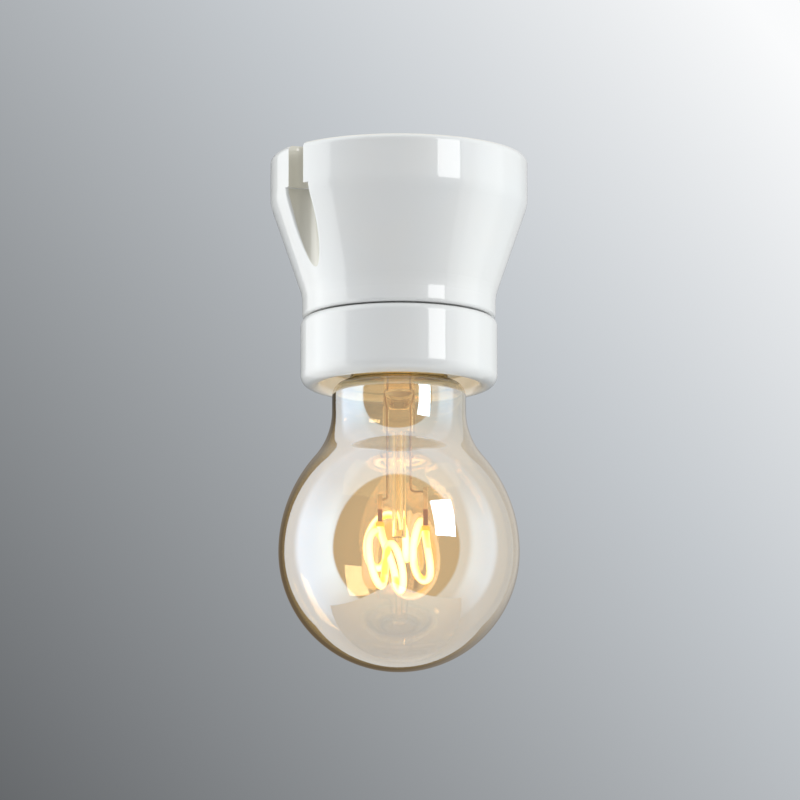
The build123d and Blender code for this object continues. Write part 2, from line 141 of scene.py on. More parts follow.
# %% [markdown]
# ## Helpers for finishes
#
# Every finish is a node material with one Principled BSDF. Patterns read Object coordinates, which are
# the part's own metres, so a speck of 0.3 mm is 0.3 mm on every piece. The helpers below place one node
# each and take plain values or other nodes' outputs, so a finish reads like a sum and not like wiring.


# %% Place a node and feed it
def add(tree, kind, **settings):
    """Add a node and set its options and, by socket name, its input values."""
    node = tree.nodes.new(kind)
    for name, value in settings.items():
        if hasattr(node, name) and name != "inputs":
            setattr(node, name, value)
        else:
            node.inputs[name.replace("_", " ")].default_value = value
    return node


def feed(tree, socket, value):
    """Link another node's output to this input, or set the input to a plain value."""
    if isinstance(value, bpy.types.NodeSocket):
        tree.links.new(value, socket)
    else:
        socket.default_value = value


# %% Sums, vectors, ramps and blends
def calculate(tree, operation, *values):
    """Place a Math node for this operation and give back its result."""
    node = add(tree, "ShaderNodeMath", operation=operation)
    for socket, value in zip(node.inputs, values):
        feed(tree, socket, value)
    return node.outputs["Value"]


def on_vectors(tree, operation, first, second=None):
    """Place a Vector Math node; lengths, distances and dot products come out as one value."""
    node = add(tree, "ShaderNodeVectorMath", operation=operation)
    feed(tree, node.inputs[0], first)
    if second is not None:
        feed(tree, node.inputs["Scale" if operation == "SCALE" else 1], second)
    single = operation in ("LENGTH", "DISTANCE", "DOT_PRODUCT")
    return node.outputs["Value" if single else "Vector"]


def ramp(tree, value, low, high, start=0.0, end=1.0, ease="LINEAR"):
    """Turn a value that runs from low to high into one that runs from start to end."""
    node = add(tree, "ShaderNodeMapRange", interpolation_type=ease)
    for name, part in (("From Min", low), ("From Max", high), ("To Min", start), ("To Max", end)):
        feed(tree, node.inputs[name], part)
    feed(tree, node.inputs["Value"], value)
    return node.outputs["Result"]


def blend(tree, share, first, second, way="MIX"):
    """Blend the second colour into the first by this share."""
    node = add(tree, "ShaderNodeMix", data_type="RGBA", blend_type=way)
    feed(tree, node.inputs["Factor"], share)
    feed(tree, node.inputs[6], first)
    feed(tree, node.inputs[7], second)
    return node.outputs[2]


def own_place(tree):
    """A point's place in the part's own metres."""
    return add(tree, "ShaderNodeTexCoord").outputs["Object"]


def axes_of(tree, vector):
    """The X, Y and Z of a vector."""
    node = add(tree, "ShaderNodeSeparateXYZ")
    feed(tree, node.inputs["Vector"], vector)
    return node.outputs[:]


# %% Start a group or a finish
def new_group(name, inputs, outputs):
    """Start a shader group with these sockets, given as {name: (type, default)} and {name: type}."""
    group = bpy.data.node_groups.new(name, "ShaderNodeTree")
    for socket, (kind, default) in inputs.items():
        made = group.interface.new_socket(socket, in_out="INPUT", socket_type=kind)
        made.default_value = default
    for socket, kind in outputs.items():
        group.interface.new_socket(socket, in_out="OUTPUT", socket_type=kind)
    print("group made:", name)
    return group, group.nodes.new("NodeGroupInput").outputs, group.nodes.new("NodeGroupOutput").inputs


def use_group(tree, group, **values):
    """Place a group in a tree, set its inputs by name and give back its outputs."""
    node = tree.nodes.new("ShaderNodeGroup")
    node.node_tree = group
    for name, value in values.items():
        node.inputs[name.replace("_", " ")].default_value = value
    return node.outputs


def new_finish(name, **values):
    """Start a material and set constants straight on its Principled BSDF."""
    material = bpy.data.materials.new(name)
    material.use_nodes = True
    surface = material.node_tree.nodes["Principled BSDF"]
    for socket, value in values.items():
        surface.inputs[socket.replace("_", " ")].default_value = value
    print("finish made:", name)
    return material, material.node_tree, surface.inputs


def bump_from(tree, height, surface, strength, distance):
    """Feed a height into the surface's normal through a Bump node."""
    bump = add(tree, "ShaderNodeBump", Strength=strength, Distance=distance)
    feed(tree, bump.inputs["Height"], height)
    feed(tree, surface["Normal"], bump.outputs["Normal"])
    return bump.outputs["Normal"]


# %% [markdown]
# ## Two effects that many finishes share
#
# Nothing real has one even colour. Glaze, brass and a sprayed film all drift a little between two
# tones, and their gloss drifts with them. Fired clay and plated metal also have a fine grain, and clay
# a few specks. Each effect is a node group, built once and set anew in every finish that uses it.

# %% Group: two tones that drift into each other
FLOAT, COLOR = "NodeSocketFloat", "NodeSocketColor"
WHITE = (1, 1, 1, 1)
cloudy, given, gives = new_group(
    "cloudy tone",
    {
        "First": (COLOR, WHITE),
        "Second": (COLOR, WHITE),
        "Scale": (FLOAT, 60.0),
        "Low": (FLOAT, 0.0),
        "High": (FLOAT, 1.0),
    },
    {"Color": COLOR, "Value": FLOAT},
)
clouds = add(cloudy, "ShaderNodeTexNoise", Detail=3.0, Roughness=0.55)
feed(cloudy, clouds.inputs["Vector"], own_place(cloudy))
feed(cloudy, clouds.inputs["Scale"], given["Scale"])
drift = ramp(cloudy, clouds.outputs["Fac"], low=0.3, high=0.7)
feed(cloudy, gives["Color"], blend(cloudy, drift, given["First"], given["Second"]))
level = ramp(cloudy, drift, low=0.0, high=1.0, start=given["Low"], end=given["High"])
feed(cloudy, gives["Value"], level)

# %% Group: fine grain for bump, with rare specks as a mask
RARE = 0.62
grainy, given, gives = new_group(
    "grain and specks",
    {"Grain size": (FLOAT, 3000.0), "Speck size": (FLOAT, 500.0), "Speck share": (FLOAT, 0.1)},
    {"Height": FLOAT, "Specks": FLOAT},
)
spot = own_place(grainy)
grain = add(grainy, "ShaderNodeTexNoise", Detail=2.0)
dots = add(grainy, "ShaderNodeTexVoronoi")
thinning = add(grainy, "ShaderNodeTexNoise", Detail=0.0)
for pattern, size in ((grain, "Grain size"), (dots, "Speck size"), (thinning, "Speck size")):
    feed(grainy, pattern.inputs["Vector"], spot)
    feed(grainy, pattern.inputs["Scale"], given[size])
small = calculate(grainy, "LESS_THAN", dots.outputs["Distance"], given["Speck share"])
chosen = calculate(grainy, "GREATER_THAN", thinning.outputs["Fac"], RARE)
feed(grainy, gives["Height"], grain.outputs["Fac"])
feed(grainy, gives["Specks"], calculate(grainy, "MULTIPLY", small, chosen))

# %% [markdown]
# ## Glazed porcelain
#
# The base and the ring are white porcelain under a clear, glossy glaze. Two layers show: the body
# scatters light softly, and the glaze mirrors the studio with a crisp edge. The coat of the Principled
# BSDF is made for that. The foot that meets the ceiling was wiped clean before firing, so the coat and
# the white end there.

# %% Body, specks and the wiped foot
glazed, tree, surface = new_finish(
    "glazed porcelain", Roughness=0.42, IOR=1.5, Coat_Roughness=0.03, Coat_IOR=1.52
)
SPECK_TONE, FOOT_TONE = (0.62, 0.58, 0.52, 1), (0.78, 0.75, 0.69, 1)
SPECK_STRENGTH = 0.35
GLAZE_ENDS, FOOT_STARTS = -0.7 * MM, -0.2 * MM
body = use_group(tree, cloudy, First=(0.80, 0.81, 0.815, 1), Second=(0.82, 0.815, 0.80, 1), Scale=45.0)
specks = use_group(tree, grainy, Grain_size=180.0, Speck_size=900.0, Speck_share=0.07)
speck_share = calculate(tree, "MULTIPLY", specks["Specks"], SPECK_STRENGTH)
speckled = blend(tree, speck_share, body["Color"], SPECK_TONE)
spot = own_place(tree)
x, y, z = axes_of(tree, spot)
glaze = ramp(tree, z, low=GLAZE_ENDS, high=FOOT_STARTS, start=1.0, end=0.0)
fired = blend(tree, glaze, FOOT_TONE, speckled)
feed(tree, surface["Coat Weight"], glaze)

# %% [markdown]
# ## Painted shade in the screw notches
#
# The walls of a notch lie in shade, and that shade is painted into their colour as a darker, warmer
# tone. The notches are found by their shape: a wall is in one if it is within half the notch's width of
# a mounting screw's axis. The notch is wider below the plate that the screw's head bears on. Outside
# the screws it is open to the side, so there only the distance from the X axis counts.

# %% Painted shade of the notches
SCREW_X = 30.0 * MM
PLATE_BOTTOM = -10.5 * MM
PLATE_EDGE = 0.1 * MM
SLOT_REACH, CHANNEL_REACH = 3.08 * MM, 4.24 * MM
# The darker, warmer tone of the notch walls is painted shade.
NOTCH_SHADE_TONE = (0.68, 0.655, 0.575, 1)
channel_top, slot_bottom = PLATE_BOTTOM - PLATE_EDGE, PLATE_BOTTOM + PLATE_EDGE
reach = ramp(tree, z, low=channel_top, high=slot_bottom, start=CHANNEL_REACH, end=SLOT_REACH)
plan = add(tree, "ShaderNodeCombineXYZ")
feed(tree, plan.inputs["X"], calculate(tree, "MINIMUM", calculate(tree, "ABSOLUTE", x), SCREW_X))
feed(tree, plan.inputs["Y"], y)
from_screw = on_vectors(tree, "DISTANCE", plan.outputs["Vector"], (SCREW_X, 0, 0))
in_notch = calculate(tree, "LESS_THAN", from_screw, reach)
# Painted shade: the notch walls get a darker, warmer tone in place of the glaze colour.
feed(tree, surface["Base Color"], blend(tree, in_notch, fired, NOTCH_SHADE_TONE))
print("notch tone reaches, mm:", round(SLOT_REACH / MM, 2), round(CHANNEL_REACH / MM, 2))

# %% [markdown]
# ## Warm light in the ring's mouth
#
# The glowing strand and the gold cap throw a warm light on the inside of the ring, low in its mouth.
# A renderer finds few of the paths that this light takes through the glass. A little warm emission,
# fading out by radius and by height, stands in for them.

# %% Glow of the mouth, and the rolling surface of the glaze
IN_PLAN = (1, 1, 0)
MOUTH_GLOW, GLOW_TONE = 0.35, (1.0, 0.78, 0.50, 1)
GLOW_RADIUS, GLOW_EDGE = 20.2 * MM, 22.6 * MM
GLOW_TOP, GLOW_GONE = -52.0 * MM, -44.0 * MM
GLAZE_WAVES, GLAZE_DEPTH = 110.0, 0.02 * MM
radius = on_vectors(tree, "LENGTH", on_vectors(tree, "MULTIPLY", spot, IN_PLAN))
in_mouth = ramp(tree, radius, low=GLOW_RADIUS, high=GLOW_EDGE, start=1.0, end=0.0)
down_low = ramp(tree, z, low=GLOW_TOP, high=GLOW_GONE, start=1.0, end=0.0)
warmth = calculate(tree, "MULTIPLY", calculate(tree, "MULTIPLY", in_mouth, down_low), MOUTH_GLOW)
feed(tree, surface["Emission Strength"], warmth)
feed(tree, surface["Emission Color"], GLOW_TONE)
# The glaze lay wet on the body once, so its surface rolls very slightly, in waves of about a centimetre.
rolling = use_group(tree, cloudy, Scale=GLAZE_WAVES)
rolled = bump_from(tree, rolling["Value"], surface, strength=0.25, distance=GLAZE_DEPTH)
feed(tree, surface["Coat Normal"], rolled)
print("nodes in the glazed porcelain:", len(tree.nodes))

# %% [markdown]
# ## Bare porcelain and cement
#
# The insert is fired without glaze, because it is hidden and its faces must fit. It is off-white and
# dry, with a grain that catches side light. The cement that holds the lamp's cap is close to it, only
# browner and coarser, so both come from one small function with other values.

# %% Finish of unglazed ceramic
DRY_SPECK_STRENGTH, DRY_SPECK_DARKNESS = 0.5, 0.72


def dry_ceramic(name, first, second, grain_size, depth):
    """Mix a dry ceramic of two tones with darker specks and a grain of this size and depth."""
    material, tree, surface = new_finish(name, IOR=1.45)
    tone = use_group(tree, cloudy, First=first, Second=second, Scale=90.0, Low=0.62, High=0.85)
    texture = use_group(tree, grainy, Grain_size=grain_size, Speck_size=grain_size / 4, Speck_share=0.12)
    speck_share = calculate(tree, "MULTIPLY", texture["Specks"], DRY_SPECK_STRENGTH)
    speck_tone = [DRY_SPECK_DARKNESS * part for part in first[:3]] + [1]
    feed(tree, surface["Base Color"], blend(tree, speck_share, tone["Color"], speck_tone))
    feed(tree, surface["Roughness"], tone["Value"])
    bump_from(tree, texture["Height"], surface, strength=0.6, distance=depth)
    return material


bare = dry_ceramic("bare porcelain", (0.77, 0.74, 0.67, 1), (0.72, 0.69, 0.62, 1), 2200.0, 0.05 * MM)
cement = dry_ceramic("cap cement", (0.52, 0.45, 0.34, 1), (0.44, 0.37, 0.27, 1), 1400.0, 0.15 * MM)

# %% [markdown]
# ## Metals
#
# Brass, bronze, plated steel and solder share one make-up: a bright tone and a duller one that drift
# into each other, a roughness that follows them, and fine rubbing marks. Only the colours and the
# amounts differ, so one function mixes them all.


# %% Finish of the metals
def metal(name, bright, dull, patch, smooth, rough, rubbing=0.01 * MM):
    """Mix a metal of two tones in patches of this scale, with a roughness between smooth and rough."""
    material, tree, surface = new_finish(name, Metallic=1.0)
    tone = use_group(tree, cloudy, First=bright, Second=dull, Scale=patch, Low=smooth, High=rough)
    marks = use_group(tree, grainy, Grain_size=1600.0)
    feed(tree, surface["Base Color"], tone["Color"])
    feed(tree, surface["Roughness"], tone["Value"])
    bump_from(tree, marks["Height"], surface, strength=0.4, distance=rubbing)
    return material


shell_brass = metal("drawn brass", (0.80, 0.60, 0.27, 1), (0.66, 0.46, 0.19, 1), 140.0, 0.18, 0.34)
cap_brass = metal("cap brass", (0.87, 0.68, 0.33, 1), (0.76, 0.56, 0.24, 1), 120.0, 0.14, 0.28)
spring_bronze = metal("spring bronze", (0.74, 0.46, 0.25, 1), (0.60, 0.35, 0.17, 1), 200.0, 0.22, 0.38)
block_brass = metal("machined brass", (0.78, 0.60, 0.30, 1), (0.64, 0.47, 0.20, 1), 180.0, 0.24, 0.42)
plated_steel = metal("plated steel", (0.66, 0.67, 0.68, 1), (0.52, 0.52, 0.50, 1), 260.0, 0.22, 0.40)
solder = metal("solder", (0.62, 0.61, 0.58, 1), (0.48, 0.47, 0.44, 1), 500.0, 0.38, 0.58, 0.04 * MM)
lead_metal = metal("lead wire", (0.62, 0.45, 0.32, 1), (0.45, 0.31, 0.21, 1), 400.0, 0.25, 0.42)
tab_metal = metal("tab strip", (0.86, 0.72, 0.58, 1), (0.74, 0.58, 0.44, 1), 500.0, 0.25, 0.40)

# %% [markdown]
# ## Browned ends of the tabs
#
# The strand hangs from two strips of bright metal. Their lower ends were heated when the strand was
# crimped into them, and turned dark red-brown. The colour follows the height, with a short soft edge,
# and is blended over the strip's own tone.

# %% Brown the tabs below the heated edge
BROWNED_TONE = (0.34, 0.10, 0.06, 1)
BROWNED_BELOW, BRIGHT_ABOVE = -89.2 * MM, -88.8 * MM
tree = tab_metal.node_tree
tab_colour = tree.nodes["Principled BSDF"].inputs["Base Color"]
strip_tone = tab_colour.links[0].from_socket
z = axes_of(tree, own_place(tree))[2]
heated = ramp(tree, z, low=BROWNED_BELOW, high=BRIGHT_ABOVE, start=1.0, end=0.0)
feed(tree, tab_colour, blend(tree, heated, strip_tone, BROWNED_TONE))
print("tabs brown below, mm:", round(BROWNED_BELOW / MM, 1))

# %% [markdown]
# ## Amber glass
#
# The bulb is blown from clear glass and coated outside with a thin amber film, sprayed on, so its
# colour drifts a little. The film tints what is seen through it and mirrors more than bare glass does,
# in faint colours of its own: Thin Film gives the colours, and a coat of high index the mirroring.
# Toward the ball's edge the eye looks along the film, so there it is brown and the coat fades out.
# Last, the strand shines on the film from inside, which looks like a faint veil of light, most in the
# middle of the ball. Emission gives that, by the distance from the strand and by the facing.

# %% Finish of the amber glass
LIMB_TONE = (0.30, 0.22, 0.11, 1)
LIMB_STARTS, LIMB_ENDS = 0.81, 0.93
amber, tree, surface = new_finish(
    "amber glass",
    Roughness=0.0,
    IOR=1.5,
    Transmission_Weight=1.0,
    Thin_Film_Thickness=172.0,
    Thin_Film_IOR=2.0,
    Coat_Roughness=0.0,
    Coat_IOR=2.55,
    Emission_Color=(1.0, 0.66, 0.26, 1),
)
film = use_group(tree, cloudy, First=(0.87, 0.745, 0.44, 1), Second=(0.84, 0.715, 0.40, 1), Scale=25.0)
facing = add(tree, "ShaderNodeLayerWeight", Blend=0.5).outputs["Facing"]
limb = ramp(tree, facing, low=LIMB_STARTS, high=LIMB_ENDS)
feed(tree, surface["Base Color"], blend(tree, limb, film["Color"], LIMB_TONE))
coat = ramp(tree, facing, low=LIMB_STARTS, high=LIMB_ENDS, start=1.0, end=0.0)
feed(tree, surface["Coat Weight"], coat)

# %% Veil of the strand's light on the film
STRAND_MIDDLE = (0, 0, -99.6 * MM)
VEIL_NEAR, VEIL_FAR = 31.0 * MM, 42.0 * MM
VEIL_MIDDLE, VEIL_SIDES = 0.20, 0.06
from_strand = on_vectors(tree, "DISTANCE", own_place(tree), STRAND_MIDDLE)
near = ramp(tree, from_strand, low=VEIL_NEAR, high=VEIL_FAR, start=1.0, end=0.25)
to_the_eye = ramp(tree, facing, low=0.10, high=0.32, start=VEIL_MIDDLE, end=VEIL_SIDES)
feed(tree, surface["Emission Strength"], calculate(tree, "MULTIPLY", near, to_the_eye))
print("nodes in the amber glass:", len(tree.nodes))

# %% [markdown]
# ## Plain and black glass
#
# The inside of the bulb's wall is bare glass. The stem is pressed from clear tube, and it catches the
# strand's warm light, so it glows faintly. The black glass between the cap and the tip contact is
# poured hot and sets glossy. All three are one Principled BSDF with a faint drift in the colour.

# %% Finishes of the other glass
inside, tree, surface = new_finish("bare glass", Roughness=0.0, IOR=1.5, Transmission_Weight=1.0)
tint = use_group(tree, cloudy, First=(0.99, 0.985, 0.97, 1), Second=(0.98, 0.97, 0.95, 1), Scale=40.0)
feed(tree, surface["Base Color"], tint["Color"])

clear, tree, surface = new_finish(
    "stem glass",
    Roughness=0.02,
    IOR=1.5,
    Transmission_Weight=1.0,
    Emission_Color=(1.0, 0.66, 0.28, 1),
    Emission_Strength=0.06,
)
tint = use_group(tree, cloudy, First=(1.0, 0.96, 0.86, 1), Second=(0.98, 0.90, 0.74, 1), Scale=150.0)
feed(tree, surface["Base Color"], tint["Color"])

BLACK, GREY_BLACK = (0.02, 0.02, 0.025, 1), (0.04, 0.038, 0.035, 1)
black_glass, tree, surface = new_finish("black cap glass", IOR=1.5)
tone = use_group(tree, cloudy, First=BLACK, Second=GREY_BLACK, Scale=300.0, Low=0.08, High=0.2)
feed(tree, surface["Base Color"], tone["Color"])
feed(tree, surface["Roughness"], tone["Value"])

# %% [markdown]
# ## The glowing strand
#
# The filament is a bendy strand coated with yellow phosphor. Lit, its middle looks nearly white. Its
# edges stay yellow, because a grazing look meets more phosphor, and so does the side that faces into
# each loop, where the coat is thickest. Layer Weight gives the edge, and an attribute of the mesh
# called inner gives the side. The strand lights its surroundings, as the real one does. The collars at
# its ends are orange and glow less.

# %% Finish of the strand and its collars
STRAND_WHITE, STRAND_YELLOW = (1.0, 0.97, 0.88, 1), (0.72, 0.50, 0.03, 1)
glow, tree, surface = new_finish("filament glow", Roughness=0.5, Emission_Strength=2.2)
phosphor = use_group(tree, cloudy, First=(0.95, 0.80, 0.35, 1), Second=(0.90, 0.70, 0.25, 1), Scale=600.0)
edge = add(tree, "ShaderNodeLayerWeight", Blend=0.4).outputs["Facing"]
inner = add(tree, "ShaderNodeAttribute", attribute_name="inner").outputs["Fac"]
yellow = calculate(tree, "MAXIMUM", edge, inner)
yellow.node.use_clamp = True
feed(tree, surface["Base Color"], phosphor["Color"])
feed(tree, surface["Emission Color"], blend(tree, yellow, STRAND_WHITE, STRAND_YELLOW))

collar, tree, surface = new_finish("strand collar", Roughness=0.35, Emission_Strength=0.95)
orange = use_group(tree, cloudy, First=(1.0, 0.60, 0.03, 1), Second=(1.0, 0.50, 0.02, 1), Scale=900.0)
feed(tree, surface["Base Color"], orange["Color"])
feed(tree, surface["Emission Color"], orange["Color"])

# %% [markdown]
# ## Small parts of the driver
#
# They sit in the cap and are seen only when the lamp is taken apart. Plastic, lacquer and board differ
# in colour and gloss, so one function makes them all.


# %% Finish of the driver's parts
def moulded(name, first, second, smooth, rough):
    """Mix a plastic or lacquer of two tones, with a roughness between smooth and rough."""
    material, tree, surface = new_finish(name, IOR=1.46)
    tone = use_group(tree, cloudy, First=first, Second=second, Scale=350.0, Low=smooth, High=rough)
    texture = use_group(tree, grainy, Grain_size=4000.0)
    feed(tree, surface["Base Color"], tone["Color"])
    feed(tree, surface["Roughness"], tone["Value"])
    bump_from(tree, texture["Height"], surface, strength=0.3, distance=0.01 * MM)
    return material


board_white = moulded("circuit board", (0.74, 0.74, 0.68, 1), (0.68, 0.68, 0.61, 1), 0.35, 0.5)
sleeve = moulded("capacitor sleeve", (0.03, 0.03, 0.04, 1), (0.05, 0.05, 0.06, 1), 0.2, 0.3)
chip_black = moulded("chip black", (0.02, 0.02, 0.02, 1), (0.035, 0.035, 0.035, 1), 0.5, 0.65)
resistor = moulded("resistor lacquer", (0.10, 0.20, 0.34, 1), (0.08, 0.16, 0.28, 1), 0.3, 0.45)

# %% [markdown]
# ## The solids that stay
#
# Porcelain, screws, contacts and the driver's parts have true shapes already, because they come from
# the solid model. They only need their finish, which takes the place of the plain one they came with.

# %% Give the solids that stay their finishes
FINISHES = {
    "porcelain_base": glazed,
    "porcelain_ring": glazed,
    "socket_insert": bare,
    "centre_contact": spring_bronze,
    "live_terminal": block_brass,
    "neutral_terminal": block_brass,
    "fixing_screws": plated_steel,
    "clamp_screws": plated_steel,
    "cap_insulator": black_glass,
    "cap_contact": solder,
    "basing_cement": cement,
    "glass_stem": clear,
    "lead_left": lead_metal,
    "lead_right": lead_metal,
    "filament_tab_left": tab_metal,
    "filament_tab_right": tab_metal,
    "driver_board": board_white,
    "smoothing_capacitor": sleeve,
    "driver_chip": chip_black,
    "bridge_rectifier": chip_black,
    "fuse_resistor": resistor,
    "live_wire": plated_steel,
    "neutral_wire": plated_steel,
}
for name, finish in FINISHES.items():
    mesh = nodes[name].data
    mesh.materials.clear()
    mesh.materials.append(finish)
print("finished solids:", len(FINISHES))

# %% [markdown]
# ## The glass bulb
#
# A blown bulb is one wall of nearly even thickness: a ball below, a slightly fuller shoulder, a hollow
# sweep into the neck, and a narrow end that goes into the cap. The outline is drawn once, arc by arc,
# then spun, and Solidify gives it the wall, inwards. Light then refracts at two true surfaces, which
# makes the fine dark line round the edge.

# %% Sizes of the bulb
glass_low, glass_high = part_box("glass_envelope")
bulb_radius = glass_high.x
bulb_centre = glass_low.z + bulb_radius
shoulder_radius = 36.0 * MM
saddle_radius = 18.0 * MM
neck_radius = 16.7 * MM
neck_end_radius = 11.7 * MM
neck_straight_top = -60.5 * MM
neck_shoulder_bottom = -53.6 * MM
glass_wall = 0.8 * MM
GLASS_SPIN_STEPS = 160

# The shoulder's arc and the saddle's touch where the line between their centres crosses them.
shoulder_x = bulb_radius - shoulder_radius
saddle_x = neck_radius + saddle_radius
arcs_apart = shoulder_radius + saddle_radius
saddle_rise = sqrt(arcs_apart**2 - (saddle_x - shoulder_x) ** 2)
shoulder_angle = degrees(asin(saddle_rise / arcs_apart))

# Two equal arcs lead from the neck in to its narrow end.
neck_in = neck_radius - neck_end_radius
neck_up = neck_shoulder_bottom - neck_straight_top
neck_angle = 2 * degrees(atan2(neck_in, neck_up))
neck_bend = neck_up / (2 * sin(radians(neck_angle)))
print("bulb radius mm:", round(bulb_radius / MM, 2), "neck bend mm:", round(neck_bend / MM, 2))

# %% Section of the bulb, spun and given its wall
section, end = begin(0, glass_low.z)
end = bend(section, end, (0, bulb_centre), 90, steps=40)
end = bend(section, end, (shoulder_x, bulb_centre), shoulder_angle, steps=24)
end = bend(section, end, (saddle_x, bulb_centre + saddle_rise), -shoulder_angle, steps=20)
end = run(section, end, neck_radius, neck_straight_top, steps=3)
end = bend(section, end, (neck_radius - neck_bend, neck_straight_top), neck_angle, steps=12)
end = bend(section, end, (neck_end_radius + neck_bend, neck_shoulder_bottom), -neck_angle, steps=12)
run(section, end, neck_end_radius, glass_high.z, steps=6)
spin_round(section, GLASS_SPIN_STEPS)
bulb = make_piece(section, "bulb_glass", "lamp", amber, "glass_envelope")
wall = thicken(bulb, glass_wall, -1)
wall.use_even_offset = True
bulb.data.materials.append(inside)
wall.material_offset = 1

# %% [markdown]
# ## The screwed brass
#
# The lamp's cap and the holder's shell are thin brass, rolled between formers into the same round
# thread, 3.629 mm a turn. Each is spun as a plain tube with many rings, and then its points are moved
# in or out by a wave that climbs one pitch each turn. Both use the same wave, so the cap sits in the
# shell's thread and would really screw out of it.

# %% Roll the thread
THREAD_PITCH = 3.629 * MM
THREAD_DEPTH = 0.9 * MM
RING_STEP = 0.25 * MM
BRASS_SPIN_STEPS = 128


def roll_thread(shape, top, bottom):
    """Press the thread into a tube between two heights, fading out over half a pitch at each end."""
    fade_run = THREAD_PITCH / 2
    for vert in shape.verts:
        into = min(top - vert.co.z, vert.co.z - bottom) / fade_run
        fade = max(0.0, min(1.0, into))
        turn = atan2(vert.co.y, vert.co.x) / tau
        wave = 0.5 - 0.5 * cos(tau * (vert.co.z / THREAD_PITCH - turn))
        radius = sqrt(vert.co.x**2 + vert.co.y**2)
        if radius > MM:
            share = 1 - fade * wave * THREAD_DEPTH / radius
            vert.co.x *= share
            vert.co.y *= share


def rings(length):
    """How many rings a threaded length needs."""
    return max(2, round(length / RING_STEP))


# %% Cap of the lamp
cap_low, cap_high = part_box("cap_shell")
eye_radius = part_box("cap_insulator")[1].x
cap_crest = 13.15 * MM
cap_rim_top = -50.0 * MM
cap_shoulder = -31.2 * MM
cap_corner = 0.8 * MM
corner_above, corner_below = 0.4 * MM, 0.6 * MM
cap_plain_rim = 1.0 * MM
brass_sheet = 0.4 * MM

section, end = begin(eye_radius, cap_high.z)
end = run(section, end, cap_crest - cap_corner, cap_shoulder + corner_above, steps=3)
end = run(section, end, cap_crest, cap_shoulder - corner_below, steps=2)
end = run(section, end, cap_crest, cap_rim_top, steps=rings(cap_shoulder - cap_rim_top))
run(section, end, -cap_low.x, cap_low.z, steps=4)
spin_round(section, BRASS_SPIN_STEPS)
roll_thread(section, cap_shoulder, cap_rim_top + cap_plain_rim)
cap = make_piece(section, "cap_brass_shell", "lamp", cap_brass, "cap_shell")
thicken(cap, brass_sheet, -1)

# %% Screw shell of the holder
shell_low, shell_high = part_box("screw_shell")
shell_top = shell_high.z - brass_sheet
thread_gap = 0.3 * MM
shell_crest = cap_crest + thread_gap
shell_eye = 9.4 * MM  # the round hole in its top
shell_corner = 0.5 * MM
shell_plain_top, shell_plain_rim = 3.0 * MM, 0.6 * MM

section, end = begin(shell_eye, shell_top)
end = run(section, end, shell_crest - shell_corner, shell_top, steps=4)
end = run(section, end, shell_crest, shell_top - corner_below, steps=2)
run(section, end, shell_crest, shell_low.z, steps=rings(shell_high.z - shell_low.z))
spin_round(section, BRASS_SPIN_STEPS)
roll_thread(section, shell_high.z - shell_plain_top, shell_low.z + shell_plain_rim)
shell = make_piece(section, "socket_brass_shell", "holder", shell_brass, "screw_shell")
thicken(shell, brass_sheet, 1)

# %% [markdown]
# ## The strand itself
#
# The flexible strand leaves the left tab, winds four and a half loops round the glass arbor in a
# slanted ring, and ends on the right tab. The solid has the same path in short runs and arcs. Here a
# smooth curve goes round the same points, gets a round bevel and becomes a mesh, so that nothing in
# the glow looks bent by hand.

# %% Path of the strand, in the lamp's own directions
LAMP_TURN = radians(-37.0)
lamp_across = Vector((cos(LAMP_TURN), sin(LAMP_TURN), 0))
lamp_front = Vector((sin(LAMP_TURN), -cos(LAMP_TURN), 0))
lamp_up = Vector((0, 0, 1))
COIL_DEPTH, COIL_RING, COIL_TILT = 99.6 * MM, 6.3 * MM, 0.8
COIL_TURNS, COIL_STEPS = 4.5, 8
COIL_START, LOOPS_APART, LOOPS_SPREAD = -4.0, 44.0, 7.5  # degrees round the ring
START_LOOP = 0.25
LOOP_HEIGHT, LOOP_WIDTH, LOOP_SLANT = 12.4 * MM, 7.4 * MM, radians(33.0)
LEFT_TAB_X, LEFT_TAB_END = -4.7 * MM, -92.5 * MM
RIGHT_TAB_X, RIGHT_TAB_END = 6.6 * MM, -93.5 * MM
ENTRY = 2.5 * MM


def strand_place(turns):
    """Where the strand is after so many loops."""
    loop = pi + tau * turns
    passed = turns - START_LOOP
    around = radians(COIL_START + LOOPS_APART * passed + LOOPS_SPREAD * passed**2)
    slanted = around - LOOP_SLANT
    out = LOOP_WIDTH / 2 * cos(loop)
    forward = COIL_RING * cos(around)
    level = LOOP_HEIGHT / 2 * sin(loop) - COIL_TILT * forward - COIL_DEPTH
    across = -COIL_RING * sin(around) - out * sin(slanted)
    return lamp_across * across + lamp_front * (forward + out * cos(slanted)) + lamp_up * level


left_end = lamp_across * LEFT_TAB_X + lamp_up * LEFT_TAB_END
right_end = lamp_across * RIGHT_TAB_X + lamp_up * RIGHT_TAB_END
route = [left_end, left_end - lamp_up * ENTRY]
route += [strand_place(step / COIL_STEPS) for step in range(round(COIL_TURNS * COIL_STEPS) + 1)]
route += [right_end - lamp_up * ENTRY, right_end]
print("points on the strand's route:", len(route))

# %% Tube of the strand
STRAND_RADIUS = 0.95 * MM
path = bpy.data.curves.new("strand path", "CURVE")
path.dimensions = "3D"
path.bevel_depth = STRAND_RADIUS
path.bevel_resolution = 5
path.resolution_u = 10
path.use_fill_caps = True
line = path.splines.new("NURBS")
line.points.add(len(route) - 1)
for point, place in zip(line.points, route):
    point.co = (*place, 1)
line.order_u = 3
line.use_endpoint_u = True
path_object = bpy.data.objects.new("strand path", path)
strand_mesh = bpy.data.meshes.new_from_object(path_object)
bpy.data.objects.remove(path_object)
print("faces on the strand:", len(strand_mesh.polygons))

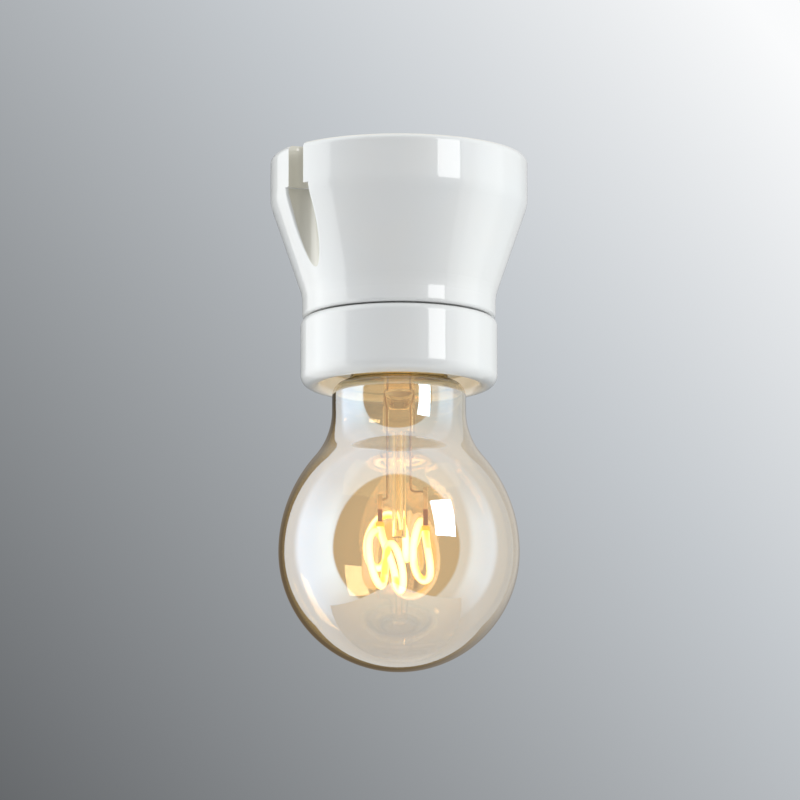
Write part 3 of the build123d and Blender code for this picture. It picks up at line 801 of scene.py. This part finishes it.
# %% Mark the side of the strand that faces into its loops
COAT_GROWTH = 1.4  # how fast the coat gets thick toward the inside
AROUND = 4 + 2 * path.bevel_resolution  # points round the tube
tube = bmesh.new()
tube.from_mesh(strand_mesh)
inner_layer = tube.verts.layers.float.new("inner")
tube.verts.ensure_lookup_table()
count = len(tube.verts) // AROUND
hoops = [tube.verts[hoop * AROUND : (hoop + 1) * AROUND] for hoop in range(count)]
centres = [sum((vert.co for vert in hoop), Vector()) / AROUND for hoop in hoops]
for before, centre, after, hoop in zip(centres, centres[1:], centres[2:], hoops[1:]):
    inward = (before + after - 2 * centre).normalized()
    for vert in hoop:
        inside_share = (vert.co - centre).dot(inward) / STRAND_RADIUS
        vert[inner_layer] = min(1.0, COAT_GROWTH * max(0.0, inside_share))
strand = make_piece(tube, "glow_strand", "lamp", glow, "filament")
print("rings along the strand:", count, "verts left over:", len(strand.data.vertices) - count * AROUND)

# %% [markdown]
# ## The collars
#
# Each end of the strand is crimped to its tab under a small round collar. It is a short cone with
# softened rims, so Blender's own cone operator makes it, and a bevel rounds the two ends.

# %% Collars where the strand is crimped to its tabs
COLLAR_TOP_RADIUS, COLLAR_BOTTOM_RADIUS = 1.05 * MM, 1.2 * MM
COLLAR_HEIGHT, COLLAR_DROP, COLLAR_ROUND = 1.3 * MM, 0.35 * MM, 0.25 * MM
for name, place in (("strand_collar_left", left_end), ("strand_collar_right", right_end)):
    shape = bmesh.new()
    bmesh.ops.create_cone(
        shape,
        cap_ends=True,
        segments=32,
        radius1=COLLAR_BOTTOM_RADIUS,
        radius2=COLLAR_TOP_RADIUS,
        depth=COLLAR_HEIGHT,
    )
    bmesh.ops.translate(shape, verts=shape.verts, vec=place - lamp_up * COLLAR_DROP)
    rims = [edge for edge in shape.edges if any(len(face.verts) > 4 for face in edge.link_faces)]
    bmesh.ops.bevel(
        shape, geom=rims, offset=COLLAR_ROUND, segments=3, profile=0.5, affect="EDGES", material=-1
    )
    make_piece(shape, name, "lamp", collar)

# %% [markdown]
# ## The camera
#
# The picture is taken from ten degrees below and 37 degrees round, so that one screw notch shows at the
# left. A long lens keeps the holder's upright sides nearly parallel. The camera's own directions, to the
# front and aside, also place the light and the tent.

# %% Where the camera stands
VIEW_AZIMUTH, VIEW_ELEVATION = radians(-37.0), radians(-10.2)
VIEW_DISTANCE = 2.0
AIM_HEIGHT, AIM_ASIDE = -61.36 * MM, 0.25 * MM
UP = Vector((0, 0, 1))
front = Vector((sin(VIEW_AZIMUTH), -cos(VIEW_AZIMUTH), 0))
aside = Vector((cos(VIEW_AZIMUTH), sin(VIEW_AZIMUTH), 0))
back = front * cos(VIEW_ELEVATION) + UP * sin(VIEW_ELEVATION)
aim = UP * AIM_HEIGHT + aside * AIM_ASIDE

lens = bpy.data.cameras.new("camera")
lens.sensor_width = 36.0
lens.lens = 361.0
lens.clip_end = 50.0
camera = bpy.data.objects.new("camera", lens)
camera.location = aim + back * VIEW_DISTANCE
camera.rotation_euler = back.to_track_quat("Z", "Y").to_euler()
bpy.context.scene.collection.objects.link(camera)
bpy.context.scene.camera = camera
print("camera at:", [round(part, 3) for part in camera.location])

# %% [markdown]
# ## The soft box
#
# One narrow soft box stands at the right, beside the camera and above it. It is the only lamp of the
# studio, and glaze and glass mirror it as the white windows on the base, the ring and the bulb. An area
# light does that, and its shade is soft. The rest of the light comes from the tent.


# %% Light
def toward(round_angle, height_angle):
    """The direction at these angles from the camera's, to the right and up."""
    turn, lift = radians(round_angle), radians(height_angle)
    return (front * cos(turn) + aside * sin(turn)) * cos(lift) + UP * sin(lift)


def soft_box(name, direction, distance, width, height, brightness):
    """A rectangular light that faces the lamp from this direction."""
    light = bpy.data.lights.new(name, "AREA")
    light.shape = "RECTANGLE"
    light.size, light.size_y = width, height
    light.energy = brightness * pi * width * height
    lamp = bpy.data.objects.new(name, light)
    lamp.location = aim + direction * distance
    lamp.rotation_euler = direction.to_track_quat("Z", "Y").to_euler()
    bpy.context.scene.collection.objects.link(lamp)
    print(name, "watts:", round(light.energy, 2))


to_the_box = toward(round_angle=45, height_angle=19.5)
soft_box("soft box right", to_the_box, distance=1.5, width=0.55, height=0.74, brightness=5.0)

# %% [markdown]
# ## The light tent
#
# Glass and glaze show what stands round them, so the studio is a white tent with a round opening
# toward the camera, turned a little to the left and down. The world plays the tent. Its cloth is
# whitest at the left, and dimmer behind the object and underneath.

# %% Cloth of the tent
CLOTH_LEFT, CLOTH_RIGHT = (1.26, 1.29, 1.29, 1), (0.93, 0.97, 0.97, 1)
world = bpy.data.worlds.new("light tent")
bpy.context.scene.world = world
world.use_nodes = True
tree = world.node_tree
way = add(tree, "ShaderNodeTexCoord").outputs["Generated"]
to_the_right = on_vectors(tree, "DOT_PRODUCT", way, aside)
cloth = blend(tree, ramp(tree, to_the_right, low=-0.8, high=0.8), CLOTH_LEFT, CLOTH_RIGHT)
to_the_front = on_vectors(tree, "DOT_PRODUCT", way, front)
behind = ramp(tree, to_the_front, low=-0.80, high=-0.35, start=0.75, end=1.0)
height = axes_of(tree, way)[2]
underneath = ramp(tree, height, low=-0.90, high=-0.55, start=0.66, end=1.0)
fade = calculate(tree, "MULTIPLY", behind, underneath)
print("cloth of the tent, nodes so far:", len(tree.nodes))

# %% [markdown]
# ## White panels in the tent
#
# A tall white panel stands at the far left and another at the far right. They make the two
# bright edges of the glass ball and of the porcelain. Each is a soft-edged stripe of the world, found by
# its heading, and it gets dimmer toward its top and bottom.

# %% Panels, added to the cloth
PANEL_BRIGHTNESS = 0.70
heading = on_vectors(tree, "NORMALIZE", on_vectors(tree, "MULTIPLY", way, IN_PLAN))
beside = on_vectors(tree, "DOT_PRODUCT", heading, aside)
left_panel = ramp(tree, beside, low=-0.84, high=-0.95, end=PANEL_BRIGHTNESS, ease="SMOOTHSTEP")
right_panel = ramp(tree, beside, low=0.93, high=0.98, end=PANEL_BRIGHTNESS, ease="SMOOTHSTEP")
steep = calculate(tree, "ABSOLUTE", height)
panel_ends = ramp(tree, steep, low=0.30, high=0.70, start=1.0, end=0.25)
both_panels = calculate(tree, "ADD", left_panel, right_panel)
panels = calculate(tree, "MULTIPLY", both_panels, panel_ends)
brightness = calculate(tree, "MULTIPLY_ADD", panels, fade, fade)
lit_cloth = on_vectors(tree, "SCALE", cloth, brightness)
print("panels added, nodes so far:", len(tree.nodes))

# %% [markdown]
# ## The opening of the tent
#
# Through the opening the room is darker, which gives the glass its calm middle. A mirror image of the
# room is darker still, so that the glaze keeps its depth. What the camera sees past the backdrop, or
# through the glass, is one plain tone, so no panel shows up there as a bright patch.

# %% Opening, and what is looked at past the object
OPENING_ANGLE, OPENING_SOFTNESS = 63.0, 1.5
OPENING_TURN, OPENING_LIFT = -2.9, -4.0
ROOM_TONE, MIRRORED_ROOM_TONE = (0.40, 0.41, 0.42, 1), (0.18, 0.19, 0.20, 1)
PLAIN_TONE = (0.50, 0.52, 0.54, 1)
outward = on_vectors(tree, "DOT_PRODUCT", way, toward(OPENING_TURN, OPENING_LIFT))
opening_edge = cos(radians(OPENING_ANGLE + OPENING_SOFTNESS))
opening_inside = cos(radians(OPENING_ANGLE - OPENING_SOFTNESS))
opening = ramp(tree, outward, low=opening_edge, high=opening_inside, ease="SMOOTHSTEP")
sight = add(tree, "ShaderNodeLightPath").outputs
room = blend(tree, sight["Is Glossy Ray"], ROOM_TONE, MIRRORED_ROOM_TONE)
tent = blend(tree, opening, lit_cloth, room)
looked_at = calculate(tree, "MAXIMUM", sight["Is Camera Ray"], sight["Is Transmission Ray"])
feed(tree, tree.nodes["Background"].inputs["Color"], blend(tree, looked_at, tent, PLAIN_TONE))
print("nodes in the tent:", len(tree.nodes))

# %% [markdown]
# ## Sheets of the studio
#
# The backdrop and the floor are flat sheets, and neither is part of the object. Each shows on its front
# only, and from its back the eye looks through it. So the object can also be viewed from behind and
# from below, where the sheet would stand between it and the camera.


# %% Sheets that show on one side
def new_sheet(name, half_size, material):
    """A square sheet with its front up, at the origin."""
    grid = bmesh.new()
    bmesh.ops.create_grid(grid, x_segments=2, y_segments=2, size=half_size)
    mesh = bpy.data.meshes.new(name)
    grid.to_mesh(mesh)
    grid.free()
    mesh.materials.append(material)
    sheet = bpy.data.objects.new(name, mesh)
    bpy.context.scene.collection.objects.link(sheet)
    print(name, "metres wide:", 2 * half_size)
    return sheet


def mix_shaders(tree, share, first, second):
    """Mix two shaders by this share."""
    node = add(tree, "ShaderNodeMixShader")
    for socket, value in zip(node.inputs, (share, first, second)):
        feed(tree, socket, value)
    return node.outputs["Shader"]


def front_only(tree, shader):
    """Show this shader on a sheet's front, and let the eye through its back."""
    from_behind = add(tree, "ShaderNodeNewGeometry").outputs["Backfacing"]
    nothing = add(tree, "ShaderNodeBsdfTransparent").outputs["BSDF"]
    seen = mix_shaders(tree, from_behind, shader, nothing)
    feed(tree, tree.nodes["Material Output"].inputs["Surface"], seen)


# %% [markdown]
# ## The backdrop
#
# Behind the object hangs a grey paper that is lit from the upper right, and its tone rises evenly that
# way. A slope over the sheet's own X and Y gives just that. The camera sees this tone itself, with a
# cool tint that fades where the paper is nearly white. In mirror images it is dimmer. For all other
# light the sheet is plain grey paper.

# %% Tones of the backdrop
FRAME_WIDTH, FRAME_POINTS = 0.1994, 800  # metres at the object, and picture points
BACKDROP_BEHIND = 0.6
MIDDLE_TONE, TONE_ASIDE, TONE_UP = 181.0, 0.1026, 0.0872  # in steps, and steps for each picture point
DARKEST, NEARLY_WHITE, WHITEST = 0.3, 0.78, 0.985
TONE_STEPS = 255
DISPLAY_GAMMA = 2.2
COOL_TINT = (0.95, 1.0, 1.05, 1)
backdrop_scale = (VIEW_DISTANCE + BACKDROP_BEHIND) / VIEW_DISTANCE
points_per_metre = FRAME_POINTS / (FRAME_WIDTH * backdrop_scale)
paper, tree, surface = new_finish("backdrop paper", Roughness=0.9, Base_Color=(0.7, 0.7, 0.7, 1))
x, y = axes_of(tree, own_place(tree))[:2]
rise = points_per_metre / TONE_STEPS
across = calculate(tree, "MULTIPLY_ADD", x, TONE_ASIDE * rise, MIDDLE_TONE / TONE_STEPS)
slope = calculate(tree, "MULTIPLY_ADD", y, TONE_UP * rise, across)
limits = add(tree, "ShaderNodeClamp", Min=DARKEST, Max=WHITEST)
feed(tree, limits.inputs["Value"], slope)
tone = limits.outputs["Result"]
tint_share = ramp(tree, tone, low=NEARLY_WHITE, high=WHITEST, start=1.0, end=0.15)
linear = calculate(tree, "POWER", tone, DISPLAY_GAMMA)
tinted = blend(tree, tint_share, linear, COOL_TINT, way="MULTIPLY")

# %% Backdrop, as the eye and mirrors see it
MIRRORED_SHARE = 0.6
BACKDROP_HALF_SIZE = 0.5
sight = add(tree, "ShaderNodeLightPath").outputs
shown = add(tree, "ShaderNodeEmission")
feed(tree, shown.inputs["Color"], tinted)
dimmer = ramp(tree, sight["Is Glossy Ray"], low=0.0, high=1.0, start=1.0, end=MIRRORED_SHARE)
feed(tree, shown.inputs["Strength"], dimmer)
looked_at = calculate(tree, "MAXIMUM", sight["Is Camera Ray"], sight["Is Transmission Ray"])
looked_at = calculate(tree, "MAXIMUM", looked_at, sight["Is Glossy Ray"])
plain_paper = tree.nodes["Principled BSDF"].outputs["BSDF"]
front_only(tree, mix_shaders(tree, looked_at, plain_paper, shown.outputs["Emission"]))

backdrop = new_sheet("backdrop", BACKDROP_HALF_SIZE, paper)
backdrop.location = aim - back * BACKDROP_BEHIND
backdrop.rotation_euler = back.to_track_quat("Z", "Y").to_euler()

# %% [markdown]
# ## The floor
#
# A pale floor lies well below the lamp. It is out of the picture from the front and only throws a
# little light up, as a studio table does.

# %% Floor
FLOOR_HEIGHT, FLOOR_HALF_SIZE = -0.75, 0.6
pale, tree, surface = new_finish("pale floor", Roughness=0.8)
tone = use_group(tree, cloudy, First=(0.82, 0.82, 0.82, 1), Second=(0.78, 0.78, 0.78, 1), Scale=3.0)
feed(tree, surface["Base Color"], tone["Color"])
front_only(tree, tree.nodes["Principled BSDF"].outputs["BSDF"])
floor = new_sheet("floor", FLOOR_HALF_SIZE, pale)
floor.location = (0, 0, FLOOR_HEIGHT)

# %% [markdown]
# ## Last steps
#
# Standard colour management shows the tones as they were chosen.

# %% Colour management
bpy.context.scene.view_settings.view_transform = "Standard"
